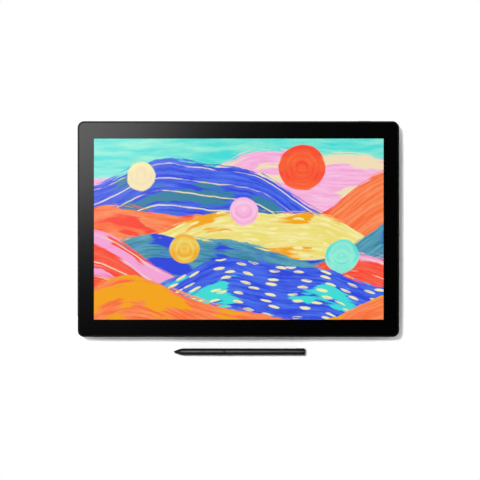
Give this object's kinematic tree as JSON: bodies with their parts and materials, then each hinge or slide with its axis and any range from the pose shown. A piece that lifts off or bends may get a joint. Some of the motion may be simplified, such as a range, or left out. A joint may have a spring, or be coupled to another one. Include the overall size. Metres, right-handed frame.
{
  "type": "pen display tablet",
  "caption": "Slim pen display: a glass-fronted drawing tablet with a rounded back, fold-out legs, socket bay and mounting bosses, with a slim cordless pen lying below it.",
  "frame": {"origin": "centre of the 75 mm mounting pattern, on the tablet's flat back face; the feet reach 2.2 mm below it", "axes": "+Z out of the screen, +X to the right across the screen, +Y towards the screen's upper edge"},
  "size_m": [0.3828, 0.2795, 0.02],
  "materials": {
    "cover_glass": "anti-glare etched",
    "tape": "matte",
    "clear_bond": "clear",
    "lcd": "polarised",
    "film": "diffusing",
    "acrylic": "clear",
    "sheet_steel": "satin",
    "circuit_board": "solder mask",
    "aluminium": "satin",
    "body_plastic": "fine grain",
    "steel": "satin",
    "brass": "satin",
    "chip_resin": "matte",
    "thermal_rubber": "matte",
    "ribbon": "smooth",
    "rubber": "matte",
    "pen_plastic": "satin",
    "pen_trim": "satin",
    "nib_resin": "matte",
    "ferrite": "matte"
  },
  "bodies": {
    "tablet": {"front_glass": "cover_glass", "glass_tape": "tape", "optical_bond": "clear_bond", "lcd_cell": "lcd", "diffuser_films": "film", "light_guide": "acrylic", "led_strip": "circuit_board", "reflector_sheet": "film", "panel_tray": "sheet_steel", "sensor_board": "circuit_board", "shield_plate": "sheet_steel", "front_frame": "body_plastic", "chassis_plate": "aluminium", "frame_screws": "steel", "main_board": "circuit_board", "board_chips": "chip_resin", "shield_can": "sheet_steel", "thermal_pad": "thermal_rubber", "board_screws": "steel", "usb_c_ports": "steel", "mini_hdmi_port": "steel", "panel_flex": "ribbon", "sensor_flex": "ribbon", "button_flex": "ribbon", "button_board": "circuit_board", "vesa_bosses": "brass", "rear_cover": "body_plastic", "case_screws": "steel", "front_feet": "rubber", "rear_feet": "rubber", "left_leg_pin": "steel", "right_leg_pin": "steel"},
    "power_button": {"power_button": "body_plastic"},
    "left_leg": {"left_leg": "body_plastic", "left_leg_foot": "rubber"},
    "right_leg": {"right_leg": "body_plastic", "right_leg_foot": "rubber"},
    "pen": {"pen_barrel": "pen_plastic", "pen_cone": "pen_trim", "pen_tail_cap": "pen_trim", "pen_core": "ferrite", "pen_pressure_sensor": "chip_resin", "pen_carrier": "pen_plastic", "pen_board": "circuit_board"},
    "nib": {"pen_nib": "nib_resin"},
    "front_switch": {"pen_switch_front": "pen_trim"},
    "rear_switch": {"pen_switch_rear": "pen_trim"}
  },
  "joints": [
    {"name": "left_leg_fold", "type": "hinge", "parent": "tablet", "child": "left_leg", "pos_m": [-0.14045, 0.0885, 0.003], "axis": [1, 0, 0], "range_deg": [0, 80]},
    {"name": "right_leg_fold", "type": "hinge", "parent": "tablet", "child": "right_leg", "pos_m": [0.14045, 0.0885, 0.003], "axis": [1, 0, 0], "range_deg": [0, 80]},
    {"name": "power_button_press", "type": "slide", "parent": "tablet", "child": "power_button", "axis": [0, -1, 0], "range_m": [0, 0.0005], "stiffness_N_per_m": 400},
    {"name": "pen_lift", "type": "slide", "parent": "tablet", "child": "pen", "axis": [0, 0, 1], "range_m": [0, 0.12]},
    {"name": "nib_press", "type": "slide", "parent": "pen", "child": "nib", "axis": [1, 0, 0], "range_m": [0, 0.00035], "stiffness_N_per_m": 400},
    {"name": "front_switch_press", "type": "slide", "parent": "pen", "child": "front_switch", "axis": [0, 0, -1], "range_m": [0, 0.00035], "stiffness_N_per_m": 400},
    {"name": "rear_switch_press", "type": "slide", "parent": "pen", "child": "rear_switch", "axis": [0, 0, -1], "range_m": [0, 0.00035], "stiffness_N_per_m": 400}
  ]
}
